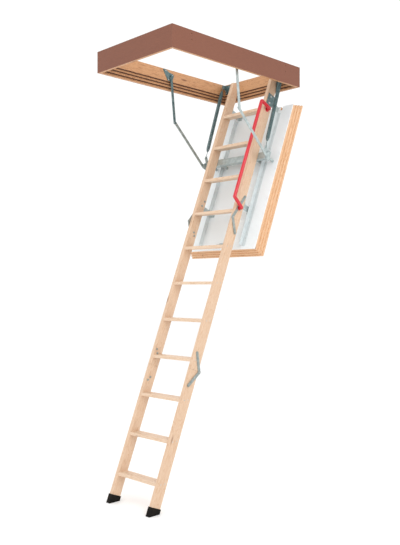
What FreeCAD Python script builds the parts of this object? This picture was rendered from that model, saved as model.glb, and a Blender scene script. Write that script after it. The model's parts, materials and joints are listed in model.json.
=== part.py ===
import FreeCAD, Part
import math
import os

# Folding attic ladder, in millimetres.
# +X is the side with the handrail, +Y the hinged end of the hatch, +Z up.
# The origin is the middle of the ceiling opening, level with the underside of the box.
# Everything that swings with the hatch is drawn as it lies with the hatch shut, then tipped open.

V = FreeCAD.Vector

# Fixed box: four pine boards with a brown facing, stepped inside into three ledges
BOX_HALF_WIDTH = 367.0
BOX_HALF_LENGTH = 612.0
BOX_HEIGHT = 140.0
FACING = 2.0
STEP_HEIGHTS = (0.0, 19.0, 39.0, 57.0)
STEP_IN = 8.0
LINING_HALF_WIDTH = 347.0
LINING_HALF_LENGTH = 592.0
SEAL_HEIGHT = 6.0
SEAL_WIDTH = 7.0
FIXING_HOLE_R = 3.5

# Hatch, as it lies shut
HATCH_HALF_WIDTH = 343.0
HATCH_HALF_LENGTH = 587.0
HATCH_STEPS = (4.0, 11.5, 31.5, 49.5)
HATCH_TOP = 78.0
PANEL = 4.0
BATTEN = 60.0
OPEN_ANGLE = 68.2
TIP_Y = 721.0
TIP_Z = 10.0

# Ladder: s is measured up the ladder from the floor, n forward from the stiles' front faces
LADDER_Y = -2398.0
LADDER_Z = 243.0
FLOOR_Z = -2800.0
STILE_INNER = 181.0
STILE_OUTER = 209.0
STILE_DEPTH = 72.0
STILE_CHAMFER = 2.0
HEAD_LIMIT_Y = 553.0
HEAD_LIMIT_Z = 125.0
TOP_TREAD_S = 2849.0
TREAD_PITCH = 266.0
TREAD_DEPTH = 75.0
TREAD_THICKNESS = 20.0
TREAD_HOUSING = 6.0
SECTION_TREADS = (range(0, 4), range(4, 8), range(8, 11))
SECTION_S = ((1995.5, 3250.0), (932.5, 1994.5), (-60.0, 931.5))
FOOT_HEIGHT = 58.0
FOOT_WALL = 3.0

# Pivots: (y, z) at rest for the box side, (s, n) for the ladder
BOX_PIVOT = (551.65, 24.82)
HATCH_PIVOT = (550.27, 148.75)
KNUCKLE_1 = (1995.0, 8.0)
KNUCKLE_2 = (932.0, -78.0)
STAY_PIVOT = (0.0, 95.0)
STAY_KNEE = (35.0, -235.0)
STAY_LOW = (320.0, -520.0)
SPRING_X = 290.0
SPRING_TOP = (515.0, 115.0)
SPRING_LOW = (2540.0, -42.0)
SPRING_COIL = (40.0, 530.0)
PIN_R = 3.5
RUNNING_FIT = 0.05

# Flat bars and plates, by their faces in x
ARM_X = (212.3, 216.3)
ARM_WIDTH = 22.0
BOX_PLATE_X = (217.0, 221.0)
STRAP_UPPER_X = (209.0, 212.0)
STRAP_LOWER_X = (212.3, 215.3)
STRAP_WIDTH = 20.0
STAY_UPPER_X = (312.0, 317.0)
STAY_LOWER_X = (306.0, 311.0)
STAY_WIDTH = 20.0


def block(x, y, z):
    """A box between pairs of faces."""
    return Part.makeBox(x[1] - x[0], y[1] - y[0], z[1] - z[0], V(x[0], y[0], z[0]))


def rod(start, end, radius):
    """A round bar between two points."""
    along = end - start
    return Part.makeCylinder(radius, along.Length, start, along)


def cross_rod(point, x0, x1, radius):
    """A round bar along X through a (y, z) point."""
    return rod(V(x0, point[0], point[1]), V(x1, point[0], point[1]), radius)


def plate(points, x):
    """A flat plate of (y, z) corners between two x faces."""
    corners = [V(x[0], y, z) for y, z in points]
    face = Part.Face(Part.makePolygon(corners + corners[:1]))
    return face.extrude(V(x[1] - x[0], 0, 0))


def join(shapes):
    """One solid out of touching shapes."""
    return shapes[0].multiFuse(shapes[1:]).removeSplitter()


def bar(a, b, width, x):
    """A flat bar with rounded ends centred on two (y, z) points."""
    length = math.hypot(b[0] - a[0], b[1] - a[1])
    side_y = -(b[1] - a[1]) / length * width / 2
    side_z = (b[0] - a[0]) / length * width / 2
    corners = [
        (a[0] + side_y, a[1] + side_z),
        (b[0] + side_y, b[1] + side_z),
        (b[0] - side_y, b[1] - side_z),
        (a[0] - side_y, a[1] - side_z),
    ]
    ends = [cross_rod(p, x[0], x[1], width / 2) for p in (a, b)]
    return join([plate(corners, x)] + ends)


def pipe(points, radius, bend):
    """A round rod along a path with rounded bends."""
    edges = []
    start = points[0]
    for before, corner, after in zip(points, points[1:], points[2:]):
        back = (before - corner).normalize()
        on = (after - corner).normalize()
        half = back.getAngle(on) / 2
        reach = bend / math.tan(half)
        a = corner + back * reach
        b = corner + on * reach
        middle = (back + on).normalize()
        apex = corner + middle * (bend / math.sin(half) - bend)
        edges.append(Part.makeLine(start, a))
        edges.append(Part.Arc(a, apex, b).toShape())
        start = b
    edges.append(Part.makeLine(start, points[-1]))
    ring = Part.Wire(Part.makeCircle(radius, points[0], points[1] - points[0]))
    return Part.Wire(edges).makePipeShell([ring], True, False)


def mirrored(shape):
    """The same shape on the other side of the ladder."""
    return shape.mirror(V(0, 0, 0), V(1, 0, 0))


def pair(shape):
    """A shape on the right and its mirror image on the left."""
    return Part.makeCompound([shape, mirrored(shape)])


def tipped(shape):
    """Turn a shape from the shut hatch to the open one."""
    turned = shape.copy()
    turned.rotate(V(0, TIP_Y, TIP_Z), V(1, 0, 0), OPEN_ANGLE)
    return turned


def tipped_point(y, z):
    """Turn a (y, z) point from the shut hatch to the open one."""
    angle = math.radians(OPEN_ANGLE)
    dy = y - TIP_Y
    dz = z - TIP_Z
    return (
        TIP_Y + dy * math.cos(angle) - dz * math.sin(angle),
        TIP_Z + dy * math.sin(angle) + dz * math.cos(angle),
    )


def ladder(s, n):
    """A (y, z) point of the ladder with the hatch shut."""
    return (s + LADDER_Y, n + LADDER_Z)


def save(name, shape):
    shape.exportStep("parts/" + name + ".step")


# ---------------------------------------------------------------- fixed box


def lining_steps(half):
    """Corners (distance from the middle, z) of a stepped board's inner side, going up."""
    corners = []
    tops = STEP_HEIGHTS[1:] + (BOX_HEIGHT,)
    for i, (low, high) in enumerate(zip(STEP_HEIGHTS, tops)):
        inner = half - STEP_IN * i
        corners += [(inner, low), (inner, high)]
    return corners


def corner_screws():
    """Wood screws that hold each long board to the end boards."""
    screws = []
    face = BOX_HALF_WIDTH - FACING
    for y in (-601.0, 601.0):
        for z in (30.0, 70.0, 110.0):
            shank = cross_rod((y, z), face - 42.0, face, 2.2)
            head = cross_rod((y, z), face - 2.5, face, 4.5)
            screws.append(join([shank, head]))
    return pair(Part.makeCompound(screws))


def fixing_holes():
    """Holes through the long boards for the screws into the ceiling frame."""
    holes = [
        cross_rod((y, z), 300.0, 380.0, FIXING_HOLE_R)
        for y in (-450.0, 450.0)
        for z in (80.0, 120.0)
    ]
    return pair(Part.makeCompound(holes))


def long_board(screws):
    """Right-hand board, its inner side stepped."""
    outer = BOX_HALF_WIDTH - FACING
    end = BOX_HALF_LENGTH - FACING
    section = lining_steps(LINING_HALF_WIDTH) + [(outer, BOX_HEIGHT), (outer, 0.0)]
    corners = [V(x, -end, z) for x, z in section]
    face = Part.Face(Part.makePolygon(corners + corners[:1]))
    return face.extrude(V(0, 2 * end, 0)).cut(screws).cut(fixing_holes())


def end_board(long_boards, screws):
    """Rear board, fitted between the long boards."""
    outer = BOX_HALF_LENGTH - FACING
    section = lining_steps(LINING_HALF_LENGTH) + [(outer, BOX_HEIGHT), (outer, 0.0)]
    board = plate(section, (-LINING_HALF_WIDTH, LINING_HALF_WIDTH))
    for other in long_boards:
        board = board.cut(other)
    return board.cut(screws)


def outer_facing():
    """Thin brown sheet round the outside of the boards."""
    w = BOX_HALF_WIDTH
    h = BOX_HALF_LENGTH
    outer = block((-w, w), (-h, h), (0, BOX_HEIGHT))
    inner = block((FACING - w, w - FACING), (FACING - h, h - FACING), (0, BOX_HEIGHT))
    return outer.cut(inner).cut(fixing_holes())


def seal(step):
    """Soft ring under one ledge."""
    half_w = LINING_HALF_WIDTH - STEP_IN * (step - 1)
    half_l = LINING_HALF_LENGTH - STEP_IN * (step - 1)
    top = STEP_HEIGHTS[step]
    z = (top - SEAL_HEIGHT, top)
    inner_w = half_w - SEAL_WIDTH
    inner_l = half_l - SEAL_WIDTH
    ring = block((-half_w, half_w), (-half_l, half_l), z)
    return ring.cut(block((-inner_w, inner_w), (-inner_l, inner_l), z))


def hinge_bracket():
    """Angle plate on the rear lining that carries a drop arm."""
    side = block(BOX_PLATE_X, (535.0, 568.0), (10.0, 130.0))
    flange = block((BOX_PLATE_X[0], 252.0), (564.0, 568.0), (60.0, 130.0))
    web = join([side, flange]).cut(cross_rod(BOX_PIVOT, 210.0, 230.0, 5.0 + RUNNING_FIT))
    bolts = [
        rod(V(238.0, 564.0, z), V(238.0, 560.5, z), 6.0)
        for z in (76.0, 114.0)
    ]
    return join([web] + bolts)


def stay_bracket():
    """Plate on the long lining with the fixed pin that the upper stay turns on."""
    outline = [(-26, 60), (4, 60), (24, 80), (32, 104), (24, 114), (-16, 120), (-42, 136), (-74, 136)]
    base = plate(outline, (320.0, 323.0))
    collar = cross_rod(STAY_PIVOT, 317.3, 320.0, 8.0)
    pin = cross_rod(STAY_PIVOT, 309.0, 320.0, 4.0)
    head = cross_rod(STAY_PIVOT, 308.5, 311.7, 7.5)
    return join([base, collar, pin, head])


def spring_anchor():
    """Angle plate on the rear lining with a hole for the spring's eye."""
    ear = plate([(568, 70), (568, 130), (508, 124), (506, 106), (530, 96)], (288.0, 292.0))
    flange = block((266.0, 314.0), (565.0, 568.0), (64.0, 134.0))
    return join([ear, flange]).cut(cross_rod(SPRING_TOP, 280.0, 300.0, 4.0))


def latch_keeper():
    """Angle on the front lining that the latch tongue turns over."""
    flange = block((-26.0, 26.0), (-568.0, -565.0), (62.0, 112.0))
    ledge = block((-26.0, 26.0), (-565.0, -549.0), (79.0, 82.0))
    return join([flange, ledge])


# ---------------------------------------------------------------- drop arms


def drop_arm():
    """Flat arm between the box pivot and the hatch pivot, drawn open."""
    top = BOX_PIVOT
    low = tipped_point(*HATCH_PIVOT)
    arm = bar(top, low, ARM_WIDTH, ARM_X)
    return arm.cut(cross_rod(top, 200.0, 230.0, 5.0)).cut(cross_rod(low, 200.0, 230.0, 5.0))


def drop_arm_pins():
    """Headed pins fast in the arm: one turns in the box bracket, one in the head plate."""
    low = tipped_point(*HATCH_PIVOT)
    upper = join([cross_rod(BOX_PIVOT, ARM_X[0], 224.5, 5.0), cross_rod(BOX_PIVOT, 221.4, 224.5, 8.0)])
    lower = join([cross_rod(low, 205.5, ARM_X[1], 5.0), cross_rod(low, 205.5, 208.6, 8.0)])
    return Part.makeCompound([upper, lower])


# ---------------------------------------------------------------- hatch, drawn shut


def hatch_layer(step, low, high):
    """One step of the hatch's edge, between two heights."""
    w = HATCH_HALF_WIDTH - STEP_IN * step
    h = HATCH_HALF_LENGTH - STEP_IN * step
    return block((-w, w), (-h, h), (low, high))


def hinge_notches():
    """Slots in the hinged edge that the arms and box brackets stand in when shut."""
    return pair(block((207.0, 229.0), (532.0, 600.0), (PANEL, HATCH_TOP)))


def core_space():
    """The hollow inside the batten frame."""
    w = HATCH_HALF_WIDTH - BATTEN
    h = HATCH_HALF_LENGTH - BATTEN
    return block((-w, w), (-h, h), (PANEL, HATCH_TOP - PANEL))


def hatch_battens():
    """Stepped frame of the hatch."""
    tops = HATCH_STEPS[1:] + (HATCH_TOP - PANEL,)
    layers = [hatch_layer(i, a, b) for i, (a, b) in enumerate(zip(HATCH_STEPS, tops))]
    return join(layers).cut(core_space()).cut(hinge_notches())


def latch_plate():
    """Plate and headed spindle that the latch tongue turns on."""
    base = block((-24.0, 24.0), (-548.0, -512.0), (HATCH_TOP, 81.0))
    spindle = rod(V(0, -530.0, 81.0), V(0, -530.0, 88.0), 6.0)
    head = rod(V(0, -530.0, 87.6), V(0, -530.0, 91.0), 9.0)
    return join([base, spindle, head])


def latch_tongue():
    """Tongue lying along the hatch's edge, unlatched."""
    arm = block((-46.0, 0.0), (-538.0, -522.0), (81.3, 87.3))
    boss = rod(V(0, -530.0, 81.3), V(0, -530.0, 87.3), 10.0)
    bore = rod(V(0, -530.0, 81.0), V(0, -530.0, 88.0), 6.0 + RUNNING_FIT)
    return join([arm, boss]).cut(bore)


def head_plate():
    """Steel cheek on a stile's head that hangs the hatch on the drop arm."""
    outline = [(536, 134), (565, 134), (583, 160), (583, 234), (498, 234), (498, 178)]
    cheek = plate(outline, (STILE_OUTER, 212.0))
    bolts = [cross_rod(p, 212.0, 212.2, 6.0) for p in ((515, 205), (566, 205))]
    return join([cheek] + bolts).cut(cross_rod(HATCH_PIVOT, 200.0, 220.0, 5.0 + RUNNING_FIT))


def console(y0):
    """Z-shaped bracket between the hatch and the back of a stile."""
    y = (y0, y0 + 42.0)
    back = LADDER_Z - STILE_DEPTH
    foot = block((158.0, 189.0), y, (HATCH_TOP, 81.0))
    web = block((186.0, 189.0), y, (HATCH_TOP, back))
    top = block((186.0, STILE_OUTER), y, (back - 3.0, back))
    return join([foot, web, top])


def panel_rail():
    """Angle that stiffens the attic side of the hatch along its length."""
    y = (-540.0, 508.0)
    upright = block((196.0, 198.0), y, (HATCH_TOP, HATCH_TOP + 34.0))
    foot = block((196.0, 222.0), y, (HATCH_TOP, HATCH_TOP + 2.0))
    return join([upright, foot])


def console_screws():
    """Pan-head screws through the feet of the consoles into the hatch."""
    screws = []
    for y0 in (516.0, -297.0):
        for y in (y0 + 11.0, y0 + 31.0):
            shank = rod(V(171.0, y, 52.0), V(171.0, y, 81.0), 2.2)
            head = rod(V(171.0, y, 81.0), V(171.0, y, 83.5), 5.0)
            screws.append(join([shank, head]))
    return pair(Part.makeCompound(screws))


def cross_bar():
    """Steel channel across the backs of the stiles, on four spacers off the hatch."""
    y = (80.0, 132.0)
    back = LADDER_Z - STILE_DEPTH
    channel = block((-300.0, 300.0), y, (back - 25.0, back))
    hollow = block((-300.0, 300.0), (y[0] + 2.0, y[1] - 2.0), (back - 25.0, back - 2.0))
    spacers = [
        rod(V(x, 106.0, HATCH_TOP), V(x, 106.0, back - 2.0), 9.0)
        for x in (-272.0, -165.0, 165.0, 272.0)
    ]
    return Part.makeCompound([channel.cut(hollow)] + spacers)


def cross_bar_lugs():
    """Ears on the end of the cross-bar for the stay and the spring."""
    low = ladder(*SPRING_LOW)
    top = LADDER_Z - STILE_DEPTH
    stay_ear = plate([(66, 150), (132, 150), (132, top), (94, 200), (66, 200)], (300.0, 304.0))
    outline = [(88, top), (132, top), (154, 194), (154, 210), (136, 212), (122, 200)]
    spring_ear = plate(outline, (288.0, 292.0))
    return Part.makeCompound([stay_ear, spring_ear.cut(cross_rod(low, 280.0, 300.0, 4.0))])


# ---------------------------------------------------------------- ladder


def stile(section):
    """Right-hand stile of one section, drawn shut, with its long edges eased."""
    low, high = SECTION_S[section]
    y = (low + LADDER_Y, high + LADDER_Y)
    z = (LADDER_Z - STILE_DEPTH, LADDER_Z)
    timber = block((STILE_INNER, STILE_OUTER), y, z)
    long_edges = [e for e in timber.Edges if e.Length > 200.0]
    return timber.makeChamfer(STILE_CHAMFER, long_edges)


def tread(number):
    """One tread, level once the ladder is open, its top grooved for grip."""
    y, z = tipped_point(*ladder(TOP_TREAD_S - TREAD_PITCH * number, 0.0))
    half = STILE_INNER + TREAD_HOUSING
    low = z - TREAD_THICKNESS / 2
    high = z + TREAD_THICKNESS / 2
    step = block((-half, half), (y, y + TREAD_DEPTH), (low, high))
    grip = half - TREAD_HOUSING - 14.0
    grooves = [
        block((-grip, grip), (y + d, y + d + 2.0), (high - 1.5, high))
        for d in (12.0, 20.0, 28.0, 36.0, 44.0, 52.0, 60.0)
    ]
    return step.cut(Part.makeCompound(grooves))


def open_stile(section, treads):
    """Right-hand stile in place, housed out for its treads."""
    timber = tipped(stile(section))
    if section == 0:
        timber = timber.common(block((0, 400), (-900, HEAD_LIMIT_Y), (-1500, HEAD_LIMIT_Z)))
    if section == 2:
        timber = timber.common(block((0, 400), (-900, 400), (FLOOR_Z + FOOT_WALL, 0)))
    for step in treads:
        timber = timber.cut(step)
    return timber


def foot(timber):
    """Black cap on the bottom of a stile, its sole level on the floor."""
    x = (STILE_INNER - FOOT_WALL, STILE_OUTER + FOOT_WALL)
    y = (LADDER_Y - 60.0, LADDER_Y + FOOT_HEIGHT)
    z = (LADDER_Z - STILE_DEPTH - FOOT_WALL, LADDER_Z + FOOT_WALL)
    cap = tipped(block(x, y, z))
    return cap.common(block((0, 400), (-900, 400), (FLOOR_Z, 0))).cut(timber)


def handrail():
    """Bent tube on the right-hand stile of the top section, its lower foot on the hinge strap."""
    x = 234.0
    strap_face = STRAP_UPPER_X[1]
    path = [
        V(STILE_OUTER, *ladder(2860.0, -36.0)),
        V(x, *ladder(2860.0, -36.0)),
        V(x, *ladder(2867.0, 62.0)),
        V(x, *ladder(2118.0, 62.0)),
        V(x, *ladder(2079.0, -31.0)),
        V(strap_face, *ladder(2079.0, -31.0)),
    ]
    tube = pipe(path, 12.0, 8.0)
    top_flange = cross_rod(ladder(2860.0, -36.0), STILE_OUTER, STILE_OUTER + 2.0, 19.0)
    low_flange = cross_rod(ladder(2079.0, -31.0), strap_face, strap_face + 2.0, 15.0)
    return join([tube, top_flange, low_flange])


def strap(knuckle, leg, x, bore):
    """Bar from a hinge knuckle to its screws on a stile's outer face, both in (s, n)."""
    a = ladder(*knuckle)
    b = ladder(*leg)
    screws = []
    for part in (0.78, 1.0):
        point = (a[0] + (b[0] - a[0]) * part, a[1] + (b[1] - a[1]) * part)
        screws.append(cross_rod(point, x[1], x[1] + 2.0, 5.0))
    pieces = [bar(a, b, STRAP_WIDTH, x)] + screws
    if x[0] > STILE_OUTER:
        near = (a[0] + (b[0] - a[0]) * 0.72, a[1] + (b[1] - a[1]) * 0.72)
        pieces.append(bar(near, b, STRAP_WIDTH - 4.0, (STILE_OUTER, x[0])))
    return join(pieces).cut(cross_rod(a, 200.0, 220.0, bore))


def knuckle_pin(knuckle):
    """Headed pin fast in the upper strap."""
    at = ladder(*knuckle)
    shank = cross_rod(at, 206.0, 218.0, PIN_R)
    inner = cross_rod(at, 206.0, 208.7, 5.0)
    outer = cross_rod(at, 215.6, 218.0, 5.0)
    return join([shank, inner, outer])


# ---------------------------------------------------------------- stays and springs


def stay_upper():
    """Upper link with the knee pin."""
    link = bar(STAY_PIVOT, STAY_KNEE, STAY_WIDTH, STAY_UPPER_X)
    pin = cross_rod(STAY_KNEE, 303.0, STAY_UPPER_X[0], 4.0)
    head = cross_rod(STAY_KNEE, 302.6, 305.7, 7.0)
    bore = cross_rod(STAY_PIVOT, 300.0, 320.0, 4.0 + RUNNING_FIT)
    return join([link, pin, head]).cut(bore)


def stay_lower():
    """Lower link with the stub that stands against the cross-bar's ear."""
    link = bar(STAY_KNEE, STAY_LOW, STAY_WIDTH, STAY_LOWER_X)
    stub = cross_rod(STAY_LOW, 304.5, 313.5, 6.0)
    return join([link, stub]).cut(cross_rod(STAY_KNEE, 300.0, 320.0, 4.0 + RUNNING_FIT))


def spring():
    """Counterbalance spring: a coil with an eye on a straight shank at each end."""
    low_y, low_z = tipped_point(*ladder(*SPRING_LOW))
    top = V(SPRING_X, SPRING_TOP[0], SPRING_TOP[1])
    low = V(SPRING_X, low_y, low_z)
    along = (low - top).normalize()
    across = V(1, 0, 0).cross(along)
    upper_eye = Part.makeTorus(8.0, 2.0, top + along * 8.0, across)
    lower_eye = Part.makeTorus(8.0, 2.0, low - along * 8.0, across)
    coil = rod(top + along * SPRING_COIL[0], top + along * SPRING_COIL[1], 14.0)
    bore = rod(top + along * (SPRING_COIL[0] + 6.0), top + along * (SPRING_COIL[1] - 6.0), 10.0)
    upper_shank = rod(top + along * 16.0, top + along * (SPRING_COIL[0] + 2.0), 2.5)
    lower_shank = rod(top + along * (SPRING_COIL[1] - 2.0), low - along * 16.0, 2.5)
    return join([coil.cut(bore), upper_shank, lower_shank, upper_eye, lower_eye])


def save_box():
    screws = corner_screws()
    right = long_board(screws)
    left = mirrored(right)
    rear = end_board((right, left), screws)
    save("box_side_right", right)
    save("box_side_left", left)
    save("box_end_rear", rear)
    save("box_end_front", rear.mirror(V(0, 0, 0), V(0, 1, 0)))
    save("outer_facing", outer_facing())
    for step, name in ((1, "lower"), (2, "middle"), (3, "upper")):
        save("seal_" + name, seal(step))
    save("hinge_brackets", pair(hinge_bracket()))
    save("stay_brackets", pair(stay_bracket()))
    save("spring_anchors", pair(spring_anchor()))
    save("latch_keeper", latch_keeper())
    save("box_screws", screws)


def save_hatch():
    screws = console_screws()
    panel = hatch_layer(3, HATCH_TOP - PANEL, HATCH_TOP).cut(hinge_notches())
    save("hatch_skin", tipped(hatch_layer(0, 0.0, PANEL)))
    save("hatch_battens", tipped(hatch_battens().cut(screws)))
    save("hatch_core", tipped(core_space().cut(screws)))
    save("hatch_attic_panel", tipped(panel.cut(screws)))
    save("panel_rails", tipped(pair(panel_rail())))
    save("latch_plate", tipped(latch_plate()))
    save("latch_tongue", tipped(latch_tongue()))
    save("head_plates", tipped(pair(head_plate())))
    save("consoles_upper", tipped(pair(console(516.0).cut(screws))))
    save("consoles_lower", tipped(pair(console(-297.0).cut(screws))))
    save("console_screws", tipped(screws))
    save("cross_bar", tipped(cross_bar()))
    save("cross_bar_lugs", tipped(pair(cross_bar_lugs())))


def save_ladder():
    for section, numbers in enumerate(SECTION_TREADS):
        treads = [tread(k) for k in numbers]
        right = open_stile(section, treads)
        name = "stile_" + str(section + 1)
        save(name + "_right", right)
        save(name + "_left", mirrored(right))
        for number, step in zip(numbers, treads):
            save("tread_%02d" % (number + 1), step)
        if section == 2:
            save("feet", pair(foot(right)))
    save("handrail", tipped(handrail()))


def save_fold_hinges():
    tight = PIN_R
    loose = PIN_R + RUNNING_FIT
    hinges = (
        ("1", KNUCKLE_1, (2177.0, -56.0), (1903.0, -51.0)),
        ("2", KNUCKLE_2, (1042.0, -16.0), (826.0, -15.0)),
    )
    for name, knuckle, upper_leg, lower_leg in hinges:
        upper = strap(knuckle, upper_leg, STRAP_UPPER_X, tight)
        lower = strap(knuckle, lower_leg, STRAP_LOWER_X, loose)
        save("fold_straps_" + name + "_upper", tipped(pair(upper)))
        save("fold_straps_" + name + "_lower", tipped(pair(lower)))
        save("fold_pins_" + name, tipped(pair(knuckle_pin(knuckle))))


def save_links():
    save("drop_arms", pair(drop_arm()))
    save("drop_arm_pins", pair(drop_arm_pins()))
    for name, shape in (
        ("stay_upper", stay_upper()),
        ("stay_lower", stay_lower()),
        ("spring", spring()),
    ):
        save(name + "_right", shape)
        save(name + "_left", mirrored(shape))


os.makedirs("parts", exist_ok=True)
save_box()
save_hatch()
save_ladder()
save_fold_hinges()
save_links()
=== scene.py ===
import bmesh
import bpy
import json
import math
from mathutils import Matrix, Vector


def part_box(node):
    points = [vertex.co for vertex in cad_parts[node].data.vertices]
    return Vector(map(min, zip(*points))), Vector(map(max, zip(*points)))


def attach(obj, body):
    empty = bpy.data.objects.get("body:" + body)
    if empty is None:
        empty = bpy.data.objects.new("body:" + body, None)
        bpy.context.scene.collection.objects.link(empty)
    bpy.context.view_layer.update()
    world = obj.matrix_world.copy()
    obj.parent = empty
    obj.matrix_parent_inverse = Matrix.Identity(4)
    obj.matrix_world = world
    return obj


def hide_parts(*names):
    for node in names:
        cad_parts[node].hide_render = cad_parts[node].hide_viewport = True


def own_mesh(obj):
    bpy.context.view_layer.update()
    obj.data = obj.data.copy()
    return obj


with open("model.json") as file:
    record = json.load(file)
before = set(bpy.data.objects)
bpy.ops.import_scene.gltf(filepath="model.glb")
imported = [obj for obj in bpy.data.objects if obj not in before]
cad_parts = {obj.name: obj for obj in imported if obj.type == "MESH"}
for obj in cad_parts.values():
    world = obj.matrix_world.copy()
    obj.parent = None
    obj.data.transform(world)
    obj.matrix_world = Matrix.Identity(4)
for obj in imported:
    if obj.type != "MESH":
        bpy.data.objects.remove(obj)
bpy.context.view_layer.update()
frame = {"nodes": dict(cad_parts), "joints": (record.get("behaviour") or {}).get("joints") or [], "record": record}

# Folding attic ladder. Lengths are in metres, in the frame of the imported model:
# +X towards the handrail, +Y towards the hinged end of the hatch, +Z up.

# Turn of the hatch from shut to open
OPEN_TILT = math.radians(68.2)
TURN = Matrix.Rotation(OPEN_TILT, 3, "X")
FLOOR_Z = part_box("feet")[0][2]

# The camera stands 1.39 m above the floor, looking level
CAMERA_PLACE = (3.488, -3.457, -1.412)
CAMERA_YAW = math.radians(45.42)
CAMERA_LENS = 47.3
CAMERA_SHIFT_UP = 0.0255

# Counterbalance springs; the coil's ends are measured from the upper pivot
SPRING_WIRE = 0.0019
SPRING_MEAN_RADIUS = 0.0118
SPRING_PITCH = 0.0054
SPRING_COIL = (0.040, 0.548)
HOOK_RADIUS = 0.008
HOOK_LONG = 0.0105
HOOK_PLAY = 0.0015
WIRE_SIDES = 8
POINTS_PER_TURN = 14

# Pivot of the hatch as (y, z), and the ladder's foot and front with the hatch shut
HATCH_AXLE = (0.721, 0.010)
LADDER_Y = -2.398
LADDER_Z = 0.243
STILE_INNER = 0.181

# Fixings: profiles as (radius, height), and places by the parts that they hold
NUT = [(0, 0), (0.0078, 0), (0.0078, 0.0034), (0.0068, 0.0044), (0, 0.0044)]
BOLT_END = [(0.0032, 0.0040), (0.0032, 0.0066), (0.0025, 0.0072), (0, 0.0072)]
TREAD_SCREW = [(0.0038, 0), (0.0034, 0.0006), (0.0018, 0.0007), (0, 0.0001)]
TREAD_SCREW_PLACES = (0.3, 0.72)
WASHER_THICKNESS = 0.0014
WASHER_EASING = 0.0004
STAY_PLATE_X = 0.320
STAY_SCREWS = ((-0.018, 0.070), (0.002, 0.070), (0.020, 0.104), (-0.046, 0.127))
END_PLATE_Y = 0.565
ANCHOR_SCREWS_X = (0.274, 0.306)
ANCHOR_SCREWS_Z = (0.078, 0.120)
KEEPER_SCREW = (0.018, 0.098)
HEAD_BOLT_X = 0.2122
HEAD_BOLTS_Y = (0.515, 0.566)
HEAD_BOLTS_Z = 0.205
RAIL_SCREWS = 9
RAIL_SCREW_X = 0.211
RAIL_FOOT_Z = 0.080
RAIL_ENDS = (-0.540, 0.508)

# Hinge straps: name, body, knuckle and far end as (up, forward) on the ladder
STRAP_BOLT_PARTS = (0.78, 1.0)
STRAPS = (
    ("strap_nuts_1_upper", "hatch", (1.995, 0.008), (2.177, -0.056)),
    ("strap_nuts_1_lower", "ladder_section_2", (1.995, 0.008), (1.903, -0.051)),
    ("strap_nuts_2_upper", "ladder_section_2", (0.932, -0.078), (1.042, -0.016)),
    ("strap_nuts_2_lower", "ladder_section_3", (0.932, -0.078), (0.826, -0.015)),
)

# Wood colours
LIGHT_PINE = (0.69, 0.50, 0.355)
DARK_PINE = (0.60, 0.385, 0.24)
TREAD_LIGHT = (0.74, 0.565, 0.42)
TREAD_DARK = (0.64, 0.43, 0.275)
BOARD_LIGHT = (0.60, 0.32, 0.155)
BOARD_DARK = (0.43, 0.20, 0.085)
EDGE_LIGHT = (0.76, 0.50, 0.31)
EDGE_DARK = (0.60, 0.34, 0.17)
SHEET_DARK = (0.66, 0.40, 0.225)


# ---------------------------------------------------------------- materials


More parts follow.
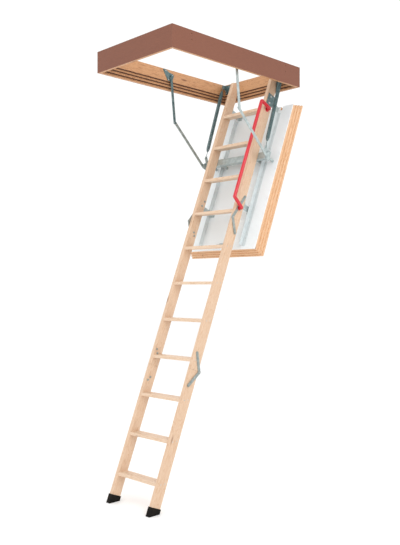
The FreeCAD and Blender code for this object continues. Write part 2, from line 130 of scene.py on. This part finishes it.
class Nodes:
    """A new node material with its shader, and short ways to add and join nodes."""

    def __init__(self, name):
        self.material = bpy.data.materials.new(name)
        self.material.use_nodes = True
        self.tree = self.material.node_tree
        self.shader = self.tree.nodes["Principled BSDF"]

    def add(self, kind, **values):
        """A node of one kind, with its settings."""
        node = self.tree.nodes.new(kind)
        for key, value in values.items():
            setattr(node, key, value)
        return node

    def join(self, source, target):
        self.tree.links.new(source, target)

    def place(self, scale, tilt=0.0):
        """Coordinates stretched by scale, turned about X so that Y runs along the grain."""
        where = self.add("ShaderNodeTexCoord")
        turn = self.add("ShaderNodeMapping")
        turn.inputs["Rotation"].default_value = (-tilt, 0, 0)
        stretch = self.add("ShaderNodeMapping")
        stretch.inputs["Scale"].default_value = scale
        self.join(where.outputs["Object"], turn.inputs["Vector"])
        self.join(turn.outputs["Vector"], stretch.inputs["Vector"])
        return stretch.outputs["Vector"]

    def noise(self, where, scale, detail=4.0, rough=0.55, distort=0.0):
        """Cloudy values, about 0 to 1."""
        node = self.add("ShaderNodeTexNoise")
        node.inputs["Scale"].default_value = scale
        node.inputs["Detail"].default_value = detail
        node.inputs["Roughness"].default_value = rough
        node.inputs["Distortion"].default_value = distort
        self.join(where, node.inputs["Vector"])
        return node.outputs["Fac"]

    def ramp(self, value, stops):
        """Colours picked by a value, from stops of (place, colour)."""
        node = self.add("ShaderNodeValToRGB")
        spots = node.color_ramp.elements
        while len(spots) < len(stops):
            spots.new(0.5)
        for spot, (place, colour) in zip(spots, stops):
            spot.position = place
            spot.color = (*colour, 1.0)
        self.join(value, node.inputs["Fac"])
        return node.outputs["Color"]

    def span(self, value, low, high):
        """A 0 to 1 value spread from low to high."""
        node = self.add("ShaderNodeMapRange")
        node.inputs["To Min"].default_value = low
        node.inputs["To Max"].default_value = high
        self.join(value, node.inputs["Value"])
        return node.outputs["Result"]

    def mix(self, factor, a, b, blend="MIX"):
        """Two colours mixed, each a plain colour or a node's output."""
        node = self.add("ShaderNodeMix", data_type="RGBA", blend_type=blend)
        colours = [s for s in node.inputs if s.type == "RGBA"]
        for socket, value in zip(colours, (a, b)):
            if isinstance(value, tuple):
                socket.default_value = (*value, 1.0)
            else:
                self.join(value, socket)
        if isinstance(factor, float):
            node.inputs[0].default_value = factor
        else:
            self.join(factor, node.inputs[0])
        return [s for s in node.outputs if s.type == "RGBA"][0]

    def bump(self, value, strength, distance):
        """Fine relief on the shader."""
        node = self.add("ShaderNodeBump")
        node.inputs["Strength"].default_value = strength
        node.inputs["Distance"].default_value = distance
        self.join(value, node.inputs["Height"])
        self.join(node.outputs["Normal"], self.shader.inputs["Normal"])

    def colour(self, source):
        self.join(source, self.shader.inputs["Base Color"])

    def roughness(self, source):
        self.join(source, self.shader.inputs["Roughness"])


def wood(name, light, dark, along, tilt=0.0, figure=1.0):
    """Planed softwood: growth rings, fine fibre and a few knots, its grain along X or Y.

    A figure below 1 spreads the rings and knots out, as on a wide peeled sheet.
    """
    m = Nodes(name)
    across = (5.0, 60.0, 60.0) if along == "X" else (60.0, 5.0, 60.0)
    fibre = (12.0, 420.0, 420.0) if along == "X" else (420.0, 12.0, 420.0)
    knot = (2.6, 11.0, 11.0) if along == "X" else (11.0, 2.6, 11.0)
    rings = m.noise(m.place(across, tilt), 0.9 * figure, 2.0, 0.4, 1.6)
    waves = m.add("ShaderNodeMath", operation="MULTIPLY")
    waves.inputs[1].default_value = 42.0
    m.join(rings, waves.inputs[0])
    bands = m.add("ShaderNodeMath", operation="SINE")
    m.join(waves.outputs[0], bands.inputs[0])
    ring_value = m.add("ShaderNodeMapRange")
    ring_value.inputs["From Min"].default_value = -1.0
    m.join(bands.outputs[0], ring_value.inputs["Value"])
    fibres = m.noise(m.place(fibre, tilt), 1.0, 3.0, 0.6)
    base = m.ramp(ring_value.outputs["Result"], [(0.0, light), (0.7, light), (1.0, dark)])
    streaks = m.ramp(fibres, [(0.3, (0.86, 0.82, 0.78)), (0.7, (1.04, 1.03, 1.02))])
    toned = m.mix(0.6, base, streaks, "MULTIPLY")
    cells = m.add("ShaderNodeTexVoronoi")
    cells.inputs["Scale"].default_value = figure
    m.join(m.place(knot, tilt), cells.inputs["Vector"])
    spots = m.ramp(cells.outputs["Distance"], [(0.03, (1, 1, 1)), (0.1, (0, 0, 0))])
    brown = (dark[0] * 0.5, dark[1] * 0.42, dark[2] * 0.4)
    m.colour(m.mix(spots, toned, brown))
    m.roughness(m.span(fibres, 0.42, 0.62))
    m.bump(fibres, 0.25, 0.0004)
    m.shader.inputs["Coat Weight"].default_value = 0.12
    m.shader.inputs["Coat Roughness"].default_value = 0.35
    return m.material


def brown_facing():
    """Brown laminate with a faint lengthwise grain."""
    m = Nodes("brown_laminate")
    fine = m.noise(m.place((30.0, 30.0, 400.0)), 1.0, 5.0)
    broad = m.noise(m.place((3.0, 3.0, 9.0)), 1.2, 2.0)
    grain = m.ramp(fine, [(0.3, (0.165, 0.051, 0.026)), (0.7, (0.208, 0.071, 0.038))])
    m.colour(m.mix(m.span(broad, 0.0, 0.35), grain, (0.232, 0.088, 0.047)))
    m.roughness(m.span(fine, 0.45, 0.62))
    m.bump(fine, 0.15, 0.0003)
    return m.material


def rubber_seal():
    """Dark brown foam-rubber strip with a skin of fine pores."""
    m = Nodes("seal_rubber")
    pores = m.noise(m.place((1.0, 1.0, 1.0)), 900.0, 2.0)
    m.colour(m.ramp(pores, [(0.35, (0.058, 0.018, 0.008)), (0.75, (0.125, 0.048, 0.022))]))
    m.roughness(m.span(pores, 0.72, 0.92))
    m.bump(pores, 0.4, 0.0004)
    return m.material


def steel(name, dark, light, metal, rough):
    """Plated or painted sheet steel: soft mottling, rolling lines and duller patches."""
    m = Nodes(name)
    mottle = m.noise(m.place((1.0, 1.0, 1.0)), 38.0, 6.0, 0.65)
    lines = m.noise(m.place((700.0, 30.0, 30.0)), 1.0, 2.0)
    tone = m.ramp(mottle, [(0.3, dark), (0.72, light)])
    shade = m.ramp(lines, [(0.3, (0.88, 0.89, 0.9)), (0.7, (1.0, 1.0, 1.0))])
    m.colour(m.mix(0.5, tone, shade, "MULTIPLY"))
    m.shader.inputs["Metallic"].default_value = metal
    m.roughness(m.span(mottle, rough - 0.08, rough + 0.12))
    m.bump(lines, 0.12, 0.0002)
    return m.material


def red_enamel():
    """Gloss red powder coat with slight orange peel and thin rubbed places."""
    m = Nodes("red_enamel")
    peel = m.noise(m.place((1.0, 1.0, 1.0)), 320.0, 2.0)
    rub = m.noise(m.place((1.0, 1.0, 1.0)), 14.0, 5.0)
    m.colour(m.ramp(rub, [(0.3, (0.54, 0.004, 0.016)), (0.75, (0.62, 0.009, 0.026))]))
    m.roughness(m.span(rub, 0.24, 0.38))
    m.bump(peel, 0.12, 0.0003)
    m.shader.inputs["Coat Weight"].default_value = 0.5
    m.shader.inputs["Coat Roughness"].default_value = 0.12
    return m.material


def white_board():
    """White-faced hardboard with a faint roller texture."""
    m = Nodes("white_board")
    roller = m.noise(m.place((1.0, 1.0, 1.0)), 260.0, 3.0)
    cloud = m.noise(m.place((1.0, 1.0, 1.0)), 3.0, 3.0)
    m.colour(m.ramp(cloud, [(0.3, (0.77, 0.82, 0.84)), (0.75, (0.84, 0.88, 0.90))]))
    m.roughness(m.span(roller, 0.42, 0.58))
    m.bump(roller, 0.15, 0.0003)
    return m.material


def foam():
    """White bead foam, pressed cells in its surface."""
    m = Nodes("bead_foam")
    beads = m.add("ShaderNodeTexVoronoi")
    beads.inputs["Scale"].default_value = 260.0
    m.join(m.place((1.0, 1.0, 1.0)), beads.inputs["Vector"])
    depth = beads.outputs["Distance"]
    m.colour(m.ramp(depth, [(0.2, (0.86, 0.85, 0.80)), (0.8, (0.70, 0.69, 0.64))]))
    m.roughness(m.span(depth, 0.75, 0.9))
    m.bump(depth, 0.4, 0.0008)
    return m.material


def black_plastic():
    """Moulded black plastic with a spark-eroded grain."""
    m = Nodes("black_plastic")
    grain = m.noise(m.place((1.0, 1.0, 1.0)), 700.0, 3.0)
    scuff = m.noise(m.place((1.0, 1.0, 1.0)), 22.0, 6.0)
    m.colour(m.ramp(scuff, [(0.4, (0.004, 0.003, 0.002)), (0.8, (0.014, 0.010, 0.007))]))
    m.roughness(m.span(scuff, 0.42, 0.66))
    m.bump(grain, 0.3, 0.0004)
    m.shader.inputs["Specular IOR Level"].default_value = 0.12
    return m.material


def pale_floor():
    """Plain pale floor with the least unevenness."""
    m = Nodes("pale_floor")
    cloud = m.noise(m.place((1.0, 1.0, 1.0)), 0.6, 2.0)
    m.colour(m.ramp(cloud, [(0.3, (0.95, 0.95, 0.945)), (0.7, (0.96, 0.96, 0.96))]))
    m.shader.inputs["Roughness"].default_value = 0.9
    return m.material


PINE_LADDER = wood("pine_along_ladder", LIGHT_PINE, DARK_PINE, "Y", OPEN_TILT)
PINE_TREAD = wood("pine_tread", TREAD_LIGHT, TREAD_DARK, "X")
PINE_HATCH = wood("pine_hatch_edge", EDGE_LIGHT, EDGE_DARK, "Y", OPEN_TILT)
SHEET_HATCH = wood("pine_sheet", EDGE_LIGHT, SHEET_DARK, "Y", OPEN_TILT, 0.22)
PINE_LONG = wood("pine_long_board", BOARD_LIGHT, BOARD_DARK, "Y")
PINE_SHORT = wood("pine_end_board", BOARD_LIGHT, BOARD_DARK, "X")
BROWN = brown_facing()
SEAL = rubber_seal()
DARK_STEEL = steel("teal_steel", (0.050, 0.100, 0.108), (0.205, 0.290, 0.295), 0.45, 0.36)
GREY_STEEL = steel("zinc_steel", (0.33, 0.39, 0.39), (0.57, 0.64, 0.635), 0.45, 0.38)
DULL_STEEL = steel("dull_steel", (0.22, 0.26, 0.25), (0.43, 0.47, 0.45), 0.5, 0.4)
PALE_STEEL = steel("pale_painted_steel", (0.58, 0.64, 0.65), (0.68, 0.73, 0.74), 0.1, 0.5)
BRIGHT_STEEL = steel("screw_steel", (0.42, 0.43, 0.42), (0.66, 0.67, 0.66), 0.85, 0.28)
RED = red_enamel()
WHITE = white_board()
FOAM = foam()
BLACK = black_plastic()

FINISHES = {
    "stile_": PINE_LADDER,
    "tread_": PINE_TREAD,
    "box_side_": PINE_LONG,
    "box_end_": PINE_SHORT,
    "hatch_battens": PINE_HATCH,
    "hatch_skin": SHEET_HATCH,
    "outer_facing": BROWN,
    "seal_": SEAL,
    "hatch_core": FOAM,
    "hatch_attic_panel": WHITE,
    "panel_rails": PALE_STEEL,
    "handrail": RED,
    "feet": BLACK,
    "hinge_brackets": DARK_STEEL,
    "head_plates": DARK_STEEL,
    "drop_arms": DARK_STEEL,
    "stay_brackets": DARK_STEEL,
    "spring_anchors": DARK_STEEL,
    "stay_upper_left": DARK_STEEL,
    "stay_upper_right": GREY_STEEL,
    "stay_lower_left": DULL_STEEL,
    "stay_lower_right": GREY_STEEL,
    "cross_bar": GREY_STEEL,
    "consoles_": GREY_STEEL,
    "fold_straps_": DULL_STEEL,
    "latch_": GREY_STEEL,
    "drop_arm_pins": BRIGHT_STEEL,
    "fold_pins_": BRIGHT_STEEL,
    "box_screws": BRIGHT_STEEL,
    "console_screws": BRIGHT_STEEL,
}

EDGES = {
    "tread_": 0.0025,
    "stile_": 0.0012,
    "box_side_": 0.0010,
    "box_end_": 0.0010,
    "hatch_battens": 0.0012,
    "hatch_skin": 0.0010,
    "feet": 0.0015,
    "stay_upper_": 0.0006,
    "stay_lower_": 0.0006,
    "drop_arms": 0.0006,
    "consoles_": 0.0006,
    "fold_straps_": 0.0005,
    "cross_bar": 0.0006,
}


def longest_match(name, table):
    """The entry whose key is the longest start of the name, or None."""
    keys = [key for key in table if name.startswith(key)]
    return table[max(keys, key=len)] if keys else None


def finish_cad_nodes():
    """Give each CAD node its material, and eased edges where the real piece has them."""
    for name, node in frame["nodes"].items():
        node.data.materials.clear()
        node.data.materials.append(longest_match(name, FINISHES))
        width = longest_match(name, EDGES)
        if width:
            bevel = node.modifiers.new("eased_edges", "BEVEL")
            bevel.width = width
            bevel.segments = 2
            bevel.limit_method = "ANGLE"
            bevel.angle_limit = math.radians(40)
            bevel.harden_normals = False


# ---------------------------------------------------------------- mesh helpers


def piece(name, build, material, body):
    """A new mesh object that rides on a CAD body and takes one material."""
    mesh = bpy.data.meshes.new(name)
    shape = bmesh.new()
    build(shape)
    bmesh.ops.recalc_face_normals(shape, faces=shape.faces)
    shape.to_mesh(mesh)
    shape.free()
    for face in mesh.polygons:
        face.use_smooth = True
    mesh.materials.append(material)
    made = bpy.data.objects.new(name, mesh)
    bpy.context.scene.collection.objects.link(made)
    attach(made, body)
    return made


def add_ring(shape, centre, side, other, radius, sides):
    """Points of a circle in the plane of two square directions."""
    turns = [2 * math.pi * k / sides for k in range(sides)]
    return [
        shape.verts.new(centre + (side * math.cos(a) + other * math.sin(a)) * radius)
        for a in turns
    ]


def add_tube(shape, path, radius, sides):
    """Sweep a round section along points, without twist, and close its ends."""
    rings = []
    side = None
    for i, point in enumerate(path):
        before = path[max(i - 1, 0)]
        after = path[min(i + 1, len(path) - 1)]
        along = (after - before).normalized()
        if side is None:
            side = along.orthogonal().normalized()
        side = (side - along * side.dot(along)).normalized()
        rings.append(add_ring(shape, point, side, along.cross(side), radius, sides))
    for a, b in zip(rings, rings[1:]):
        for k in range(sides):
            shape.faces.new((a[k], a[(k + 1) % sides], b[(k + 1) % sides], b[k]))
    shape.faces.new(rings[0][::-1])
    shape.faces.new(rings[-1])


def add_turned(shape, place, axis, profile, sides=24):
    """Turn a profile of (radius, height) round an axis; a zero radius closes the end."""
    axis = axis.normalized()
    side = axis.orthogonal().normalized()
    other = axis.cross(side)
    rings = []
    for radius, height in profile:
        centre = place + axis * height
        if radius == 0:
            rings.append([shape.verts.new(centre)] * sides)
        else:
            rings.append(add_ring(shape, centre, side, other, radius, sides))
    for low, high in zip(rings, rings[1:]):
        for k in range(sides):
            corners = (low[k], low[(k + 1) % sides], high[(k + 1) % sides], high[k])
            shape.faces.new(list(dict.fromkeys(corners)))


def add_pan_head(shape, place, axis, radius):
    """Domed screw head with a six-sided socket."""
    height = radius * 0.55
    dome = [
        (radius * math.cos(t), height * math.sin(t))
        for t in [math.radians(9 * k) for k in range(0, 8)]
    ]
    add_turned(shape, place, axis, [(0, 0)] + dome)
    lip, top = dome[-1]
    socket = [(lip, top), (lip * 0.92, top), (lip * 0.8, height * 0.35), (0, height * 0.3)]
    add_turned(shape, place, axis, socket, 6)


def add_washer(shape, place, axis, radius):
    """Flat washer with its rim eased."""
    eased = WASHER_THICKNESS - WASHER_EASING
    profile = [
        (0, 0),
        (radius, 0),
        (radius, eased),
        (radius * 0.94, WASHER_THICKNESS),
        (0, WASHER_THICKNESS),
    ]
    add_turned(shape, place, axis, profile)


# ---------------------------------------------------------------- springs


def spring_line(side):
    """Top point, direction and length of one spring, from its pivot and its CAD box."""
    low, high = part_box("spring_" + side)
    x = (low[0] + high[0]) / 2
    joint = [j for j in frame["joints"] if j["name"] == "spring_swing"][0]
    top = Vector(joint["pos_m"])
    top.x = x
    bottom = Vector((x, low[1], low[2]))
    along = (bottom - top).normalized()
    reach = (bottom - top).length - HOOK_PLAY
    return top, along, reach


def add_hook(shape, centre, along, across, start):
    """Bent wire from the coil's end to an open loop that hangs on the pivot."""
    turns = [math.radians(14 * k + 20) for k in range(23)]
    loop = [
        centre + along * math.cos(a) * HOOK_LONG + across * math.sin(a) * HOOK_RADIUS
        for a in turns
    ]
    path = [start, start.lerp(centre, 0.5), centre + along * HOOK_LONG * 1.5]
    add_tube(shape, path + loop, SPRING_WIRE, WIRE_SIDES)


def build_spring(side):
    """Close-wound counterbalance spring with tapered ends and a hook at each end."""
    top, along, reach = spring_line(side)
    across = Vector((1, 0, 0))
    normal = along.cross(across).normalized()

    def coil(shape):
        first, last = SPRING_COIL
        turns = (last - first) / SPRING_PITCH
        steps = int(turns * POINTS_PER_TURN)
        path = []
        for k in range(steps + 1):
            t = k / steps
            taper = min(1.0, min(t, 1 - t) * 16)
            swell = 0.35 + 0.65 * math.sin(taper * math.pi / 2)
            out = across * math.cos(2 * math.pi * turns * t)
            out += normal * math.sin(2 * math.pi * turns * t)
            spot = top + along * (first + (last - first) * t)
            path.append(spot + out * SPRING_MEAN_RADIUS * swell)
        add_tube(shape, path, SPRING_WIRE, WIRE_SIDES)
        upper = top + along * HOOK_LONG
        lower = top + along * (reach - HOOK_LONG)
        add_hook(shape, upper, along, across, path[0])
        add_hook(shape, lower, -along, across, path[-1])

    made = piece("coil_spring_" + side, coil, DARK_STEEL, "springs")
    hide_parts("spring_" + side)
    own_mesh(made)


# ---------------------------------------------------------------- small fixings


def tipped(x, y, z):
    """Where a point of the shut hatch is with the hatch open."""
    axle = Vector((x, *HATCH_AXLE))
    return axle + TURN @ (Vector((x, y, z)) - axle)


def on_ladder(x, up, forward):
    """Point a length up the ladder from its foot and forward of the stiles' front faces."""
    return tipped(x, up + LADDER_Y, forward + LADDER_Z)


def build_tread_screws():
    """Countersunk screws in the stiles' outer faces, two to each end of each tread."""
    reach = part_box("stile_2_right")[1][0]
    for body, nodes in frame["record"]["behaviour"]["bodies"].items():
        treads = [name for name in nodes if name.startswith("tread_")]
        if treads:
            build_screw_row("tread_screws_" + treads[0], treads, reach, body)


def build_screw_row(name, treads, reach, body):
    """The screws of one ladder section's treads."""
    def heads(shape):
        for tread in treads:
            low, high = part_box(tread)
            for part in TREAD_SCREW_PLACES:
                y = low[1] + (high[1] - low[1]) * part
                z = (low[2] + high[2]) / 2
                for side in (-1, 1):
                    place = Vector((side * (reach - 0.0002), y, z))
                    add_turned(shape, place, Vector((side, 0, 0)), TREAD_SCREW)

    piece(name, heads, BRIGHT_STEEL, body)


def build_bracket_screws():
    """Pan-head screws that fix the steel plates to the box's linings."""
    def heads(shape):
        for side in (-1, 1):
            inward = Vector((-side, 0, 0))
            for y, z in STAY_SCREWS:
                add_pan_head(shape, Vector((side * STAY_PLATE_X, y, z)), inward, 0.0042)
            for x in ANCHOR_SCREWS_X:
                for z in ANCHOR_SCREWS_Z:
                    spot = Vector((side * x, END_PLATE_Y, z))
                    add_pan_head(shape, spot, Vector((0, -1, 0)), 0.0045)
            keeper = Vector((side * KEEPER_SCREW[0], -END_PLATE_Y, KEEPER_SCREW[1]))
            add_pan_head(shape, keeper, Vector((0, 1, 0)), 0.0040)

    piece("bracket_screws", heads, BRIGHT_STEEL, "box")


def build_hatch_screws():
    """Bolts on the head cheeks and screws in the panel rails' feet."""
    square = TURN @ Vector((0, 0, 1))

    def heads(shape):
        for side in (-1, 1):
            outward = Vector((side, 0, 0))
            for y in HEAD_BOLTS_Y:
                spot = tipped(side * HEAD_BOLT_X, y, HEAD_BOLTS_Z)
                add_washer(shape, spot, outward, 0.0080)
                add_pan_head(shape, spot + outward * WASHER_THICKNESS, outward, 0.0055)
            for k in range(RAIL_SCREWS):
                y = RAIL_ENDS[0] + (RAIL_ENDS[1] - RAIL_ENDS[0]) * (k + 0.5) / RAIL_SCREWS
                add_pan_head(shape, tipped(side * RAIL_SCREW_X, y, RAIL_FOOT_Z), square, 0.0036)

    piece("hatch_screws", heads, BRIGHT_STEEL, "hatch")


def build_strap_nuts():
    """Nuts and bolt ends on the stiles' inner faces, behind the hinge straps' screws."""
    for name, body, knuckle, leg in STRAPS:
        def nuts(shape):
            for part in STRAP_BOLT_PARTS:
                up = knuckle[0] + (leg[0] - knuckle[0]) * part
                forward = knuckle[1] + (leg[1] - knuckle[1]) * part
                for side in (-1, 1):
                    inward = Vector((-side, 0, 0))
                    spot = on_ladder(side * STILE_INNER, up, forward)
                    add_turned(shape, spot, inward, NUT, 6)
                    add_turned(shape, spot, inward, BOLT_END, 12)

        piece(name, nuts, DULL_STEEL, body)


# ---------------------------------------------------------------- stage


def build_floor():
    mesh = bpy.data.meshes.new("floor")
    shape = bmesh.new()
    bmesh.ops.create_circle(shape, cap_ends=True, segments=64, radius=40.0)
    shape.to_mesh(mesh)
    shape.free()
    mesh.materials.append(pale_floor())
    floor = bpy.data.objects.new("floor", mesh)
    floor.location.z = FLOOR_Z - 0.0005
    bpy.context.scene.collection.objects.link(floor)


def add_light(name, place, target, size, power, colour):
    data = bpy.data.lights.new(name, "AREA")
    data.size = size
    data.energy = power
    data.color = colour
    lamp = bpy.data.objects.new(name, data)
    lamp.location = place
    aim = Vector(target) - Vector(place)
    lamp.rotation_euler = aim.to_track_quat("-Z", "Y").to_euler()
    bpy.context.scene.collection.objects.link(lamp)


def build_lights():
    middle = (0.0, 0.0, -0.9)
    add_light("key", (4.6, -1.6, 1.2), middle, 2.6, 80.0, (1.0, 0.985, 0.96))
    add_light("front", (0.4, -5.0, -0.6), middle, 3.0, 28.0, (1.0, 1.0, 1.0))
    add_light("back", (-4.0, 3.0, 1.0), middle, 3.0, 28.0, (0.96, 0.98, 1.0))
    world = bpy.data.worlds.new("studio")
    world.use_nodes = True
    sky = world.node_tree.nodes["Background"]
    sky.inputs["Color"].default_value = (1.0, 1.0, 1.0, 1.0)
    sky.inputs["Strength"].default_value = 1.06
    bpy.context.scene.world = world


def build_camera():
    data = bpy.data.cameras.new("camera")
    data.sensor_width = 36.0
    data.lens = CAMERA_LENS
    data.shift_y = CAMERA_SHIFT_UP
    data.clip_end = 200.0
    camera = bpy.data.objects.new("camera", data)
    camera.location = CAMERA_PLACE
    camera.rotation_euler = (math.pi / 2, 0.0, CAMERA_YAW)
    bpy.context.scene.collection.objects.link(camera)
    bpy.context.scene.camera = camera


def set_plain_colours():
    """Show colours as painted, without a film-like curve."""
    bpy.context.scene.view_settings.view_transform = "Standard"
    bpy.context.scene.view_settings.look = "None"


finish_cad_nodes()
for hand in ("left", "right"):
    build_spring(hand)
build_tread_screws()
build_bracket_screws()
build_hatch_screws()
build_strap_nuts()
build_floor()
build_lights()
build_camera()
set_plain_colours()
